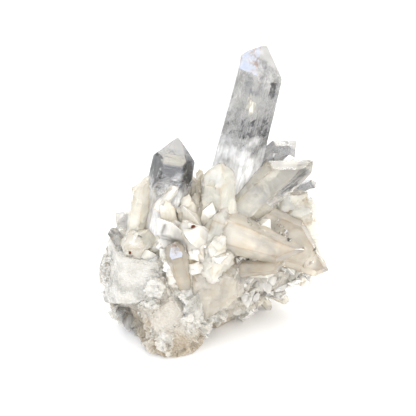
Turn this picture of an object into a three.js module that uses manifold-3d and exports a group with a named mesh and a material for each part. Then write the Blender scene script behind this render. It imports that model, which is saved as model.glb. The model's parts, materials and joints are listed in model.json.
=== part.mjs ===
// A natural cluster of rock crystal: clear and milky quartz points that fan out of a block of white
// vein quartz. Millimetres, +Z up. The origin is the middle of the flat that the block rests on,
// and the fan opens towards -Y. Each crystal is a convex body behind its growth faces: a plane at
// its foot, six sides and six tip faces.

import * as THREE from "three";
import { ConvexGeometry } from "three/addons/geometries/ConvexGeometry.js";
import { mergeVertices } from "three/addons/utils/BufferGeometryUtils.js";
import Module from "manifold-3d";

const wasm = await Module();
wasm.setup();

// -------------------------------------------------------------------------------------------------
// Driving dimensions

const JOINT_GAP = 0.3; // left between two pieces that grew against each other
const SAME_POINT = 1e-3; // corners closer than this are one corner
const CRUMB = 0.5; // mm3; a cut leaves loose bodies smaller than this, and they are dropped
const SIDES = 6;
const TIP_FACE_LEAN = 38.2; // degrees between a quartz tip face and the long axis

const CLEAR = { color: 0xdfe3e6, roughness: 0.08, metalness: 0 };
const MILKY = { color: 0xe9e4d8, roughness: 0.3, metalness: 0 };
const MASSIVE = { color: 0xeeebe3, roughness: 0.8, metalness: 0 };

// foot is the buried end of a crystal's long axis and tip the free end. width is from side to side
// at half length. turn rotates the six sides about the axis, and taper leans them inwards, both in
// degrees. sides scales each side's distance from the axis. crown raises each tip face by some mm,
// and the low ones outgrow the high ones.
const HABIT = {
  turn: 0,
  taper: 2,
  sides: [1, 1, 1, 1, 1, 1],
  crown: [0, 1, 0, 1, 0, 1],
};
const CHISEL = [1.5, 5, 0, 0, 5, 1.5]; // two neighbouring faces make a slanting end
const BLUNT = [0, 0, 0, 0, 0, 0]; // six even faces

// Each piece is one crystal, or crystals that grew through each other. A piece that meets one above
// it in this list stops short of it.
const PIECES = {
  tall_point: [
    CLEAR,
    { foot: [4.7, 8, 36], tip: [19.2, 10, 102], width: 16.4, taper: 1.5, crown: [1, 4, 1, 5, 2, 0] },
  ],
  twin_blades: [
    MILKY,
    {
      foot: [9, 0, 40.5],
      tip: [39.7, -6, 31],
      width: 16,
      turn: 46,
      sides: [0.56, 1, 1, 0.56, 1, 1],
      crown: [14, 0, 0, 14, 10, 10],
    },
    {
      foot: [6, -8, 41.5], tip: [29.9, -16, 36.6], width: 10.8,
      turn: 39, taper: 8, crown: [12, 6, 6, 12, 0, 0],
    },
  ],
  upper_blade: [
    MILKY,
    {
      foot: [8, -1, 41], tip: [30.6, 3, 63.4], width: 12.4,
      turn: 10, taper: 1, crown: [8.5, 12, 0, 0, 12, 8.5],
    },
  ],
  left_point: [CLEAR, { foot: [-17, -3, 36], tip: [-10.2, 2, 72.7], width: 13.5, turn: 30 }],
  cream_block: [
    MILKY,
    { foot: [3.8, -4, 38], tip: [3.8, -3, 66], width: 12, turn: 5, taper: 3, crown: [3, 0, 0, 2, 0, 1] },
  ],
  front_brow: [MILKY, { foot: [3, -4, 34], tip: [1, -22, 28.5], width: 15, turn: 5 }],
  back_low_point: [MILKY, { foot: [0, 8, 20], tip: [5, 33, 26], width: 10, turn: 5, taper: 3 }],
  back_left_point: [MILKY, { foot: [-8, 6, 26], tip: [-18, 27, 40], width: 9, turn: 12 }],
  back_right: [
    CLEAR,
    { foot: [16, 12, 52], tip: [30.4, 15, 65], width: 9, turn: 12, taper: 1, crown: CHISEL },
  ],
  left_dome: [
    CLEAR,
    { foot: [-20, -4, 37], tip: [-28.5, -19, 40.5], width: 9.5, turn: 4, taper: 3, crown: BLUNT },
  ],
  sheaf_tall: [MILKY, { foot: [0, -12, 36], tip: [6.5, -9, 52], width: 8.5, turn: 15 }],
  back_middle_point: [CLEAR, { foot: [-1, 8, 28], tip: [-3, 30, 42], width: 8, turn: 40 }],
  back_side_point: [MILKY, { foot: [13, 11, 26], tip: [27, 30, 33], width: 7.5, turn: 33, taper: 3 }],
  back_tall_point: [CLEAR, { foot: [9, 12, 34], tip: [15, 31, 54], width: 7, turn: 25 }],
  front_stub: [
    MILKY,
    { foot: [-7.5, -13, 20], tip: [-11.7, -20, 43.5], width: 7, turn: 39, crown: [2, 1, 2, 1, 0, 1] },
  ],
  sheaf_beige: [MILKY, { foot: [1, -12, 27], tip: [-8.4, -15, 50.4], width: 7, turn: 16 }],
  front_clear: [CLEAR, { foot: [-3, -12, 31], tip: [6.1, -16, 44.3], width: 7, turn: 4 }],
  left_blade: [
    CLEAR,
    { foot: [-25.5, -7, 34], tip: [-22.5, -6, 60.6], width: 6.4, turn: 12, crown: [5, 3, 0, 0, 2, 5] },
  ],
  left_leaf: [CLEAR, { foot: [-22, -4, 36.5], tip: [-32.4, -2, 45.2], width: 8.4, turn: 53, taper: 4 }],
  druse_far: [CLEAR, { foot: [26, 10, 15], tip: [38.7, 8, 8.8], width: 6.5, turn: 46, taper: 3 }],
  round_stub: [MILKY, { foot: [-13, -12, 31], tip: [-13.5, -15, 47.2], width: 6.5, turn: 4 }],
  sheaf_white: [MILKY, { foot: [-7.3, -8, 36], tip: [-6.5, -6, 55], width: 6 }],
  low_blade: [
    MILKY,
    {
      foot: [4.9, -10, 26.7], tip: [25.8, -15, 31.7], width: 5.6,
      turn: 46, taper: 4, crown: [6, 2, 2, 6, 0, 0],
    },
  ],
  peach_stub: [MILKY, { foot: [-12, -10, 38], tip: [-14.4, -11, 55.4], width: 5.5, turn: 9 }],
  druse_mid: [CLEAR, { foot: [14, 3, 13], tip: [17.4, -3.5, 4.6], width: 5.5, turn: 10 }],
  druse_brown: [MILKY, { foot: [10, 2, 11], tip: [12, -4.5, 2.6], width: 5, turn: 25 }],
  back_nub: [CLEAR, { foot: [26, 12, 43], tip: [39.2, 15, 48.1], width: 4.6, turn: 10 }],
  sheaf_thin: [MILKY, { foot: [-8, -10, 36], tip: [-9.2, -9, 53], width: 4.5, turn: 13 }],
  left_nub: [CLEAR, { foot: [-28, -9, 33], tip: [-33.5, -11, 44.5], width: 4.4, turn: 23 }],
  gap_stub: [CLEAR, { foot: [-6.5, 1, 40], tip: [-5.5, 1, 58.6], width: 4.5 }],
  gap_point: [CLEAR, { foot: [-1.6, 3, 40], tip: [-2.8, 4, 59.1], width: 4 }],
  druse_right: [CLEAR, { foot: [20, 9, 6], tip: [30.2, 4.5, 3.2], width: 4.2, turn: 20 }],
  left_wing: [CLEAR, { foot: [-17, -9, 50], tip: [-10.5, -6, 59.3], width: 4, turn: 19, taper: 3 }],
  druse_low: [CLEAR, { foot: [17, 6, 8], tip: [23.6, 3.5, 0.4], width: 3.6, turn: 5 }],
};

// The block is broken lumps of massive quartz that run into one another, each with its middle and
// half sizes.
const LUMPS = [
  { at: [-2, 3, 20], half: [27, 21, 25], seed: 11 },
  { at: [-22, -3, 20], half: [17, 15, 22], seed: 12 },
  { at: [-12.5, -13, 8], half: [14, 14.5, 18], seed: 13 },
  { at: [18, 5, 22], half: [21, 14, 17], seed: 14 },
  { at: [32.5, 13, 31], half: [9, 9, 13], seed: 15 },
  { at: [-17, -9, 18], half: [15, 12, 17], seed: 16 },
];
const LUMP_FACES = 44;
const LUMP_DENT = 0.16; // the deepest that a broken face cuts in, as a share of the half size
const LUMP_WOBBLE = 0.4; // how far a broken face turns away from an even spread
const BLOCK_CORE = [0, 0, 10]; // a point inside the block

// -------------------------------------------------------------------------------------------------
// Solids

const UP = new THREE.Vector3(0, 0, 1);
const DOWN = new THREE.Vector3(0, 0, -1);
const HERE = new THREE.Vector3();

const vector = (xyz) => new THREE.Vector3(...xyz);
const radians = THREE.MathUtils.degToRad;

// The plane with this outward normal through a point: a body lies behind each of its planes.
const facing = (normal, point) => new THREE.Plane().setFromNormalAndCoplanarPoint(normal, point);

// The point where three planes meet, or nothing where two of them are parallel.
function meeting(a, b, c) {
  const crossed = b.normal.clone().cross(c.normal);
  const volume = a.normal.dot(crossed);
  if (Math.abs(volume) < 1e-6) return null;
  return crossed
    .multiplyScalar(-a.constant)
    .addScaledVector(c.normal.clone().cross(a.normal), -b.constant)
    .addScaledVector(a.normal.clone().cross(b.normal), -c.constant)
    .divideScalar(volume);
}

// The corners of the convex body behind all the planes.
function corners(planes) {
  const found = [];
  for (let i = 0; i < planes.length; i++)
    for (let j = i + 1; j < planes.length; j++)
      for (let k = j + 1; k < planes.length; k++) {
        const point = meeting(planes[i], planes[j], planes[k]);
        if (!point || planes.some((plane) => plane.distanceToPoint(point) > SAME_POINT)) continue;
        if (found.every((other) => other.distanceTo(point) > SAME_POINT)) found.push(point);
      }
  return found;
}

function solidOf(geometry) {
  const bare = geometry.clone();
  bare.deleteAttribute("normal");
  bare.deleteAttribute("uv");
  const merged = mergeVertices(bare, SAME_POINT);
  const vertProperties = merged.attributes.position.array;
  const triVerts = new Uint32Array(merged.index.array);
  return new wasm.Manifold(new wasm.Mesh({ numProp: 3, vertProperties, triVerts }));
}

function geometryOf(solid) {
  const { vertProperties, triVerts } = solid.getMesh();
  return new THREE.BufferGeometry()
    .setAttribute("position", new THREE.BufferAttribute(vertProperties, 3))
    .setIndex(new THREE.BufferAttribute(triVerts, 1));
}

const joined = (solids) => solids.reduce((a, b) => a.add(b));

// The convex solid behind these planes, with each of them moved outwards by grow.
function convexSolid(planes, grow = 0) {
  const moved = planes.map((plane) => new THREE.Plane(plane.normal, plane.constant - grow));
  return solidOf(new ConvexGeometry(corners(moved)));
}

// How near a solid's corners come to a point.
function distanceTo(point, solid) {
  const { position } = geometryOf(solid).attributes;
  const corner = new THREE.Vector3();
  let nearest = Infinity;
  for (let i = 0; i < position.count; i++)
    nearest = Math.min(nearest, point.distanceTo(corner.fromBufferAttribute(position, i)));
  return nearest;
}

// Cuts the taken room off a solid, and keeps the body that comes nearest to a point.
function cutFree(solid, taken, point) {
  const bodies = solidOf(geometryOf(solid.subtract(taken))).decompose();
  const whole = bodies.filter((body) => body.volume() > CRUMB);
  return whole.sort((a, b) => distanceTo(point, a) - distanceTo(point, b))[0];
}

// -------------------------------------------------------------------------------------------------
// Crystals and lumps

// A crystal's growth faces: a foot plane, then a side and a tip face for each of its six directions.
function crystalPlanes(crystal) {
  const { foot, tip, width, turn, taper, sides, crown } = { ...HABIT, ...crystal };
  const axis = vector(tip).sub(vector(foot));
  const length = axis.length();
  const upright = new THREE.Quaternion().setFromUnitVectors(UP, axis.normalize());
  const stand = new THREE.Matrix4().makeRotationFromQuaternion(upright).setPosition(vector(foot));
  const planes = [facing(DOWN, HERE)];
  for (let i = 0; i < SIDES; i++) {
    const heading = radians(turn + (360 / SIDES) * i);
    const out = new THREE.Vector3(Math.cos(heading), Math.sin(heading), 0);
    const raised = (angle) => {
      const level = out.clone().multiplyScalar(Math.cos(radians(angle)));
      return level.setZ(Math.sin(radians(angle)));
    };
    const middle = out.clone().multiplyScalar((width / 2) * sides[i]).setZ(length / 2);
    planes.push(facing(raised(taper), middle));
    planes.push(facing(raised(TIP_FACE_LEAN), new THREE.Vector3(0, 0, length + crown[i])));
  }
  return planes.map((plane) => plane.applyMatrix4(stand));
}

// A broken lump: an ellipsoid's tangent planes, spread by the golden angle and some pushed in,
// above the flat.
function lumpPlanes({ at, half, seed }) {
  THREE.MathUtils.seededRandom(seed);
  const goldenAngle = Math.PI * (3 - Math.sqrt(5));
  const wobble = () => (THREE.MathUtils.seededRandom() - 0.5) * LUMP_WOBBLE;
  const planes = [facing(DOWN, HERE)];
  for (let i = 0; i < LUMP_FACES; i++) {
    const z = 1 - (2 * i + 1) / LUMP_FACES;
    const ring = Math.sqrt(1 - z * z);
    const normal = new THREE.Vector3(ring * Math.cos(goldenAngle * i), ring * Math.sin(goldenAngle * i), z);
    normal.add(new THREE.Vector3(wobble(), wobble(), wobble())).normalize();
    const dent = 1 - LUMP_DENT * THREE.MathUtils.seededRandom();
    const reach = normal.clone().multiply(vector(half)).length() * dent;
    planes.push(facing(normal, vector(at).addScaledVector(normal, reach)));
  }
  return planes;
}

// Crystals that grew through each other, each with a gap around it.
function intergrown(crystals, gap) {
  return joined(crystals.map((crystal) => convexSolid(crystalPlanes(crystal), gap)));
}

// -------------------------------------------------------------------------------------------------
// The cluster

const cluster = new THREE.Group();

function addPiece(name, solid, finish) {
  const material = new THREE.MeshStandardMaterial({ ...finish, flatShading: true });
  const piece = new THREE.Mesh(geometryOf(solid), material);
  piece.name = name;
  cluster.add(piece);
}

let taken; // the room of the pieces so far, with the gap around them
for (const [name, [finish, ...crystals]] of Object.entries(PIECES)) {
  const whole = intergrown(crystals, 0);
  const room = intergrown(crystals, JOINT_GAP);
  addPiece(name, taken ? cutFree(whole, taken, vector(crystals[0].tip)) : whole, finish);
  taken = taken ? taken.add(room) : room;
}

// The block keeps a socket for the foot of every crystal.
const block = joined(LUMPS.map((lump) => convexSolid(lumpPlanes(lump))));
addPiece("vein_block", cutFree(block, taken, vector(BLOCK_CORE)), MASSIVE);

export default cluster;
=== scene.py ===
"""A hand-size cluster of rock crystal: clear and milky points fanning out of a block of white vein quartz."""

import json
import math
import random

import bmesh
import bpy
from mathutils import Matrix, Vector, noise
from mathutils.geometry import intersect_point_line


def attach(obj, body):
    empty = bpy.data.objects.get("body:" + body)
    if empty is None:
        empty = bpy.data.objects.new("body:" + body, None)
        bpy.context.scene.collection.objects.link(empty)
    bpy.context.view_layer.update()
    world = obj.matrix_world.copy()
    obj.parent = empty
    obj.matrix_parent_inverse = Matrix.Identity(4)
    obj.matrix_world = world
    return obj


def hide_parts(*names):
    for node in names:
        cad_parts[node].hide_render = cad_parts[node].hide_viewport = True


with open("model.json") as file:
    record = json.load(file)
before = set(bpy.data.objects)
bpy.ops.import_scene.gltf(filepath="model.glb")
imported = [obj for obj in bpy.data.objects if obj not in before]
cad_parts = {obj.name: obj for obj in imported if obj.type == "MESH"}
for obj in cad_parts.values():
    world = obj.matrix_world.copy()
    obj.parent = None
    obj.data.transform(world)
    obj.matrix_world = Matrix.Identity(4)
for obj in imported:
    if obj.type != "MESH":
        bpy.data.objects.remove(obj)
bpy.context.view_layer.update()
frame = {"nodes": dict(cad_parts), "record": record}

MM = 0.001  # the scene is in metres, and the specimen is measured in millimetres
QUARTZ_IOR = 1.544
HEART = Vector((2, -2, 26)) * MM  # the crystals fan out from here

SLOTS = {entry["node"]: entry["material_slot"] for entry in frame["record"]["subparts"]}


# ---- Nodes and colours ----


def colour(text):
    """An sRGB hex value as linear red, green, blue and alpha."""
    values = [int(text[i : i + 2], 16) / 255 for i in (0, 2, 4)]
    return [v / 12.92 if v <= 0.04045 else ((v + 0.055) / 1.055) ** 2.4 for v in values] + [1.0]


def per(millimetres):
    """The texture scale that repeats a pattern every so many millimetres."""
    return 1 / (millimetres * MM)


def add(tree, kind, inputs=None, stops=None, **settings):
    """Adds one node. inputs gives each socket a value or the output linked to it, and stops are a ramp's."""
    node = tree.nodes.new(kind)
    for name, value in settings.items():
        setattr(node, name, value)
    for name, value in (inputs or {}).items():
        if isinstance(value, bpy.types.NodeSocket):
            tree.links.new(value, node.inputs[name])
        else:
            node.inputs[name].default_value = value
    for i, (place, value) in enumerate(stops or []):
        element = node.color_ramp.elements[i] if i < 2 else node.color_ramp.elements.new(place)
        element.position = place
        element.color = value if isinstance(value, list) else [value, value, value, 1.0]
    return node


def new_material(name):
    material = bpy.data.materials.new(name)
    material.use_nodes = True
    material.node_tree.nodes.clear()
    return material, material.node_tree


# ---- Materials ----


def quartz(
    name, pale, deep, foot, tip, clears_at=0.4, absorb=1.0,
    frost=0.14, inner=0.04, wispy=0.06, apex=0.0, rim="e9d9c2",
):
    """Rock crystal, grown in hot water. Its skin is glassy with faint growth lines, and it is clearest towards the
    tip. The foot trapped fine bubbles as it grew, so light goes soft and creamy there. foot and tip are how milky
    each end is, clears_at is how far up the crystal the change comes, and apex is how much cream is in the very tip.
    frost and inner are how rough the skin is where it is milky and where it is clear, wispy is how uneven the milk
    is, and absorb is how much light the clear parts take.
    The edges are tinted with the rim colour."""
    material, tree = new_material(name)
    grown = add(tree, "ShaderNodeAttribute", attribute_name="grown").outputs["Vector"]
    rise = add(tree, "ShaderNodeAttribute", attribute_name="rise").outputs["Fac"]
    # clouds 6 mm across drift through the crystal, with wisps a millimetre wide drawn out along it
    drawn = add(tree, "ShaderNodeMapping", {"Vector": grown, "Scale": (1, 1, 0.16)}).outputs["Vector"]
    drift = add(tree, "ShaderNodeTexNoise", {"Vector": grown, "Scale": per(6), "Detail": 4}).outputs["Fac"]
    wisps = add(tree, "ShaderNodeTexNoise", {"Vector": drawn, "Scale": per(1.1), "Detail": 4, "Roughness": 0.65})
    wisps = wisps.outputs["Fac"]
    level = add(tree, "ShaderNodeMath", {0: drift, 1: 0.7, 2: rise}, operation="MULTIPLY_ADD").outputs[0]
    height = {"Value": level, "From Min": clears_at + 0.15, "From Max": clears_at + 0.55}
    height |= {"To Min": foot, "To Max": tip}
    milky = add(tree, "ShaderNodeMapRange", height, interpolation_type="SMOOTHSTEP").outputs["Result"]
    patchy = {"Value": wisps, "From Min": 0.36, "From Max": 0.68, "To Min": 1 - wispy, "To Max": 1 + wispy}
    patchy = add(tree, "ShaderNodeMapRange", patchy).outputs["Result"]
    milky = add(tree, "ShaderNodeMath", {0: milky, 1: patchy}, operation="MULTIPLY", use_clamp=True).outputs[0]
    nearly = add(tree, "ShaderNodeMath", {0: drift, 1: 0.3, 2: rise}, operation="MULTIPLY_ADD").outputs[0]
    last = {"Value": nearly, "From Min": 1.01, "From Max": 1.08, "To Max": apex}
    last = add(tree, "ShaderNodeMapRange", last, interpolation_type="SMOOTHSTEP").outputs["Result"]
    milky = add(tree, "ShaderNodeMath", {0: milky, 1: last}, operation="MAXIMUM").outputs[0]
    clear = add(tree, "ShaderNodeMath", {0: 1.0, 1: milky}, operation="SUBTRACT").outputs[0]
    rough = {"Value": milky, "To Min": inner, "To Max": frost}
    rough = add(tree, "ShaderNodeMapRange", rough).outputs["Result"]
    hue = [(0.3, colour(deep)), (0.62, colour(pale))]
    hue = add(tree, "ShaderNodeValToRGB", {"Fac": drift}, stops=hue).outputs["Color"]
    hue = add(tree, "ShaderNodeMix", {0: last, 6: hue, 7: colour("e6dcc4")}, data_type="RGBA").outputs[2]
    edge = add(tree, "ShaderNodeAttribute", attribute_name="edge").outputs["Fac"]
    hue = add(tree, "ShaderNodeMix", {0: edge, 6: hue, 7: colour(rim)}, data_type="RGBA").outputs[2]
    # growth lines cross the prism faces about every 0.7 mm, over a finer pitting
    across = add(tree, "ShaderNodeMapping", {"Vector": grown, "Scale": (0.12, 0.12, 1)}).outputs["Vector"]
    lines = add(tree, "ShaderNodeTexNoise", {"Vector": across, "Scale": per(0.7), "Detail": 3}).outputs["Fac"]
    pits = add(tree, "ShaderNodeTexNoise", {"Vector": grown, "Scale": per(0.5), "Detail": 4}).outputs["Fac"]
    relief = add(tree, "ShaderNodeMath", {0: lines, 1: 1.2, 2: pits}, operation="MULTIPLY_ADD").outputs[0]
    # where it is milky the skin is crinkled too, by the ends of plates 1 mm wide
    ends = {"Vector": drawn, "Scale": per(1.6), "Randomness": 1.0}
    ends = add(tree, "ShaderNodeTexVoronoi", ends, feature="SMOOTH_F1").outputs["Distance"]
    crinkle = add(tree, "ShaderNodeMath", {0: ends, 1: milky}, operation="MULTIPLY").outputs[0]
    relief = add(tree, "ShaderNodeMath", {0: crinkle, 1: 1.6, 2: relief}, operation="MULTIPLY_ADD").outputs[0]
    bump = {"Height": relief, "Strength": 0.6, "Distance": 0.09 * MM}
    bump = add(tree, "ShaderNodeBump", bump).outputs["Normal"]
    skin = {"Base Color": hue, "Roughness": rough, "IOR": QUARTZ_IOR, "Transmission Weight": clear, "Normal": bump}
    skin |= {"Coat Weight": 0.35, "Coat Roughness": 0.04, "Coat IOR": QUARTZ_IOR}
    skin |= {"Subsurface Weight": 0.8, "Subsurface Scale": 1.0}
    skin |= {"Subsurface Radius": (3.2 * MM, 3.1 * MM, 2.9 * MM)}
    body = add(tree, "ShaderNodeBsdfPrincipled", skin).outputs["BSDF"]
    inside = {"Color": colour("efe6d8"), "Density": absorb}
    inside = add(tree, "ShaderNodeVolumeAbsorption", inside).outputs["Volume"]
    add(tree, "ShaderNodeOutputMaterial", {"Surface": body, "Volume": inside})
    return material


def milky_cloud(name, tint, most, width, streak, fade_from=0.35):
    """Sheets of tiny bubbles sealed in the crystal as it grew. They are dead white, thin and streaky, and they
    thin out towards the tip. most is how solid they get, width is a wisp's in mm, streak draws it out along the
    crystal the more the smaller it is, and fade_from is how far up they start to thin out."""
    material, tree = new_material(name)
    grown = add(tree, "ShaderNodeAttribute", attribute_name="grown").outputs["Vector"]
    rise = add(tree, "ShaderNodeAttribute", attribute_name="rise").outputs["Fac"]
    drawn = add(tree, "ShaderNodeMapping", {"Vector": grown, "Scale": (1, 1, streak)}).outputs["Vector"]
    wisps = {"Vector": drawn, "Scale": per(width), "Detail": 5, "Roughness": 0.7}
    wisps = add(tree, "ShaderNodeTexNoise", wisps).outputs["Fac"]
    drift = add(tree, "ShaderNodeTexNoise", {"Vector": grown, "Scale": per(5), "Detail": 3}).outputs["Fac"]
    both = add(tree, "ShaderNodeMath", {0: drift, 1: 0.8, 2: wisps}, operation="MULTIPLY_ADD").outputs[0]
    shown = {"Value": both, "From Min": 0.78, "From Max": 1.16, "To Max": most}
    shown = add(tree, "ShaderNodeMapRange", shown, interpolation_type="SMOOTHSTEP").outputs["Result"]
    fade = {"Value": rise, "From Min": fade_from, "From Max": 1.0, "To Min": 1.0, "To Max": 0.0}
    fade = add(tree, "ShaderNodeMapRange", fade, interpolation_type="SMOOTHSTEP").outputs["Result"]
    shown = add(tree, "ShaderNodeMath", {0: shown, 1: fade}, operation="MULTIPLY").outputs[0]
    white = [(0.35, colour(tint)), (0.6, colour("fbfaf7"))]
    white = add(tree, "ShaderNodeValToRGB", {"Fac": drift}, stops=white).outputs["Color"]
    bubbles = {"Base Color": white, "Roughness": 0.8, "IOR": 1.05, "Alpha": shown}
    bubbles = add(tree, "ShaderNodeBsdfPrincipled", bubbles).outputs["BSDF"]
    add(tree, "ShaderNodeOutputMaterial", {"Surface": bubbles})
    return material


def healed_crack():
    """A crack inside the crystal that grew shut. The thin film left in it is a mirror that flashes silver with
    whatever it faces, and in other patches its tone is painted near black, a painted dark reflection. The film lies
    in ragged patches under a millimetre wide."""
    material, tree = new_material("healed_crack")
    place = add(tree, "ShaderNodeTexCoord").outputs["Object"]
    ragged = {"Vector": place, "Scale": per(2.2), "Detail": 6, "Roughness": 0.7, "Distortion": 0.4}
    ragged = add(tree, "ShaderNodeTexNoise", ragged).outputs["Fac"]
    film = add(tree, "ShaderNodeMapRange", {"Value": ragged, "From Min": 0.5, "From Max": 0.58, "To Max": 0.85})
    wavy = add(tree, "ShaderNodeTexNoise", {"Vector": place, "Scale": per(1.2), "Detail": 3}).outputs["Fac"]
    bump = {"Height": wavy, "Strength": 0.8, "Distance": 0.4 * MM}
    bump = add(tree, "ShaderNodeBump", bump).outputs["Normal"]
    tone = add(tree, "ShaderNodeTexNoise", {"Vector": place, "Scale": per(1.6), "Detail": 2}).outputs["Fac"]
    # near black is a painted dark reflection, the light end a silver mirror
    silver_and_painted_black = [(0.46, colour("2b2f34")), (0.54, colour("f4f6f8"))]
    tone = add(tree, "ShaderNodeValToRGB", {"Fac": tone}, stops=silver_and_painted_black)
    tone = tone.outputs["Color"]
    mirror = {"Base Color": tone, "Metallic": 1.0, "Roughness": 0.08, "Normal": bump}
    mirror |= {"Alpha": film.outputs["Result"]}
    mirror = add(tree, "ShaderNodeBsdfPrincipled", mirror).outputs["BSDF"]
    add(tree, "ShaderNodeOutputMaterial", {"Surface": mirror})
    return material


def shadowed_crack():
    """A thin sheet painted near black, a painted dark reflection, with painted glints of light grey. It shows in
    ragged dashes along the crystal."""
    material, tree = new_material("shadowed_crack")
    grown = add(tree, "ShaderNodeAttribute", attribute_name="grown").outputs["Vector"]
    drawn = add(tree, "ShaderNodeMapping", {"Vector": grown, "Scale": (1, 1, 0.28)}).outputs["Vector"]
    ragged = {"Vector": drawn, "Scale": per(1.5), "Detail": 6, "Roughness": 0.75, "Distortion": 0.3}
    ragged = add(tree, "ShaderNodeTexNoise", ragged).outputs["Fac"]
    film = add(tree, "ShaderNodeMapRange", {"Value": ragged, "From Min": 0.38, "From Max": 0.48, "To Max": 0.95})
    glint = add(tree, "ShaderNodeTexNoise", {"Vector": grown, "Scale": per(1.0), "Detail": 3}).outputs["Fac"]
    # painted dark reflection where the noise is low, painted light grey glints where it is high
    tone = [(0.62, colour("1d2023")), (0.74, colour("c9ced3"))]
    tone = add(tree, "ShaderNodeValToRGB", {"Fac": glint}, stops=tone).outputs["Color"]
    bump = add(tree, "ShaderNodeBump", {"Height": glint, "Strength": 0.7, "Distance": 0.3 * MM}).outputs["Normal"]
    dark = {"Base Color": tone, "Roughness": 0.2, "Normal": bump, "Alpha": film.outputs["Result"]}
    dark = add(tree, "ShaderNodeBsdfPrincipled", dark).outputs["BSDF"]
    add(tree, "ShaderNodeOutputMaterial", {"Surface": dark})
    return material


def vein_quartz():
    """Massive vein quartz, broken by hand. It is snow white and sugary, greyer and glassier where a fresh face
    shows, tan in its hollows and towards the bottom, with iron stain in a few pockets."""
    material, tree = new_material("broken_vein_quartz")
    place = add(tree, "ShaderNodeTexCoord").outputs["Object"]
    hollow = add(tree, "ShaderNodeAttribute", attribute_name="hollow").outputs["Fac"]
    stained = add(tree, "ShaderNodeAttribute", attribute_name="stained").outputs["Fac"]
    patches = {"Vector": place, "Scale": per(9), "Detail": 5, "Roughness": 0.6}
    patches = add(tree, "ShaderNodeTexNoise", patches).outputs["Fac"]
    grains = add(tree, "ShaderNodeTexNoise", {"Vector": place, "Scale": per(1.3), "Detail": 4}).outputs["Fac"]
    whites = [(0.34, colour("aeaca5")), (0.5, colour("c5c3bd")), (0.64, colour("b5b2ab"))]
    whites = add(tree, "ShaderNodeValToRGB", {"Fac": patches}, stops=whites).outputs["Color"]
    beige = [(0.35, colour("a39580")), (0.6, colour("b9af9e"))]
    beige = add(tree, "ShaderNodeValToRGB", {"Fac": grains}, stops=beige).outputs["Color"]
    depth = add(tree, "ShaderNodeMath", {0: hollow, 1: 0.7, 2: stained}, operation="MULTIPLY_ADD").outputs[0]
    iron = {"Value": depth, "From Min": 0.28, "From Max": 1.2, "To Max": 0.95}
    iron = add(tree, "ShaderNodeMapRange", iron).outputs["Result"]
    hue = add(tree, "ShaderNodeMix", {0: iron, 6: whites, 7: beige}, data_type="RGBA").outputs[2]
    gloss = {"Value": patches, "From Min": 0.35, "From Max": 0.65, "To Min": 0.12, "To Max": 0.5}
    gloss = add(tree, "ShaderNodeMapRange", gloss).outputs["Result"]
    glassy = {"Value": patches, "From Min": 0.44, "From Max": 0.3, "To Max": 0.25}
    glassy = add(tree, "ShaderNodeMapRange", glassy).outputs["Result"]
    # sugar grains are 0.3 mm, drawn at 0.7 mm so that they show
    sugar = add(tree, "ShaderNodeTexVoronoi", {"Vector": place, "Scale": per(0.7)}).outputs["Distance"]
    bump = {"Height": sugar, "Strength": 0.9, "Distance": 0.4 * MM}
    bump = add(tree, "ShaderNodeBump", bump).outputs["Normal"]
    stone = {"Base Color": hue, "Roughness": gloss, "IOR": QUARTZ_IOR, "Normal": bump}
    stone |= {"Subsurface Weight": 0.45, "Subsurface Scale": 1.0}
    stone |= {"Subsurface Radius": (2.6 * MM, 2.3 * MM, 1.9 * MM)}
    stone |= {"Transmission Weight": glassy}
    stone = add(tree, "ShaderNodeBsdfPrincipled", stone).outputs["BSDF"]
    add(tree, "ShaderNodeOutputMaterial", {"Surface": stone})
    return material


def etched_quartz():
    """A tip face that natural acids frosted, with fine raised patches that sparkle. Its bluish white and peach
    patches are painted reflections of the cool and the warm lamps.
    """
    material, tree = new_material("etched_rock_crystal")
    place = add(tree, "ShaderNodeTexCoord").outputs["Object"]
    patches = {"Vector": place, "Scale": per(3.2), "Detail": 5, "Roughness": 0.65}
    patches = add(tree, "ShaderNodeTexNoise", patches).outputs["Fac"]
    plates = add(tree, "ShaderNodeTexVoronoi", {"Vector": place, "Scale": per(1.1)}).outputs["Distance"]
    # bluish white and peach: painted reflections of the cool key light and the warm right light
    hue = [(0.38, colour("b4bccf")), (0.5, colour("dadee8")), (0.58, colour("d8bdac"))]
    hue = add(tree, "ShaderNodeValToRGB", {"Fac": patches}, stops=hue).outputs["Color"]
    bump = {"Height": plates, "Strength": 0.7, "Distance": 0.2 * MM}
    bump = add(tree, "ShaderNodeBump", bump).outputs["Normal"]
    clear = {"Value": patches, "From Min": 0.4, "From Max": 0.6, "To Min": 0.35, "To Max": 0.85}
    clear = add(tree, "ShaderNodeMapRange", clear).outputs["Result"]
    skin = {"Base Color": hue, "Roughness": 0.22, "IOR": QUARTZ_IOR, "Transmission Weight": clear, "Normal": bump}
    skin = add(tree, "ShaderNodeBsdfPrincipled", skin).outputs["BSDF"]
    add(tree, "ShaderNodeOutputMaterial", {"Surface": skin})
    return material


def iron_rust():
    """Grains of iron oxide caught between the crystals: earthy red brown, dull and rough."""
    material, tree = new_material("iron_rust")
    place = add(tree, "ShaderNodeTexCoord").outputs["Object"]
    crumbs = add(tree, "ShaderNodeTexNoise", {"Vector": place, "Scale": per(0.4), "Detail": 3}).outputs["Fac"]
    hue = [(0.35, colour("35160c")), (0.65, colour("66321b"))]
    hue = add(tree, "ShaderNodeValToRGB", {"Fac": crumbs}, stops=hue).outputs["Color"]
    bump = add(tree, "ShaderNodeBump", {"Height": crumbs, "Strength": 0.8, "Distance": 0.1 * MM}).outputs["Normal"]
    rust = {"Base Color": hue, "Roughness": 0.85, "Normal": bump}
    rust = add(tree, "ShaderNodeBsdfPrincipled", rust).outputs["BSDF"]
    add(tree, "ShaderNodeOutputMaterial", {"Surface": rust})
    return material


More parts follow.
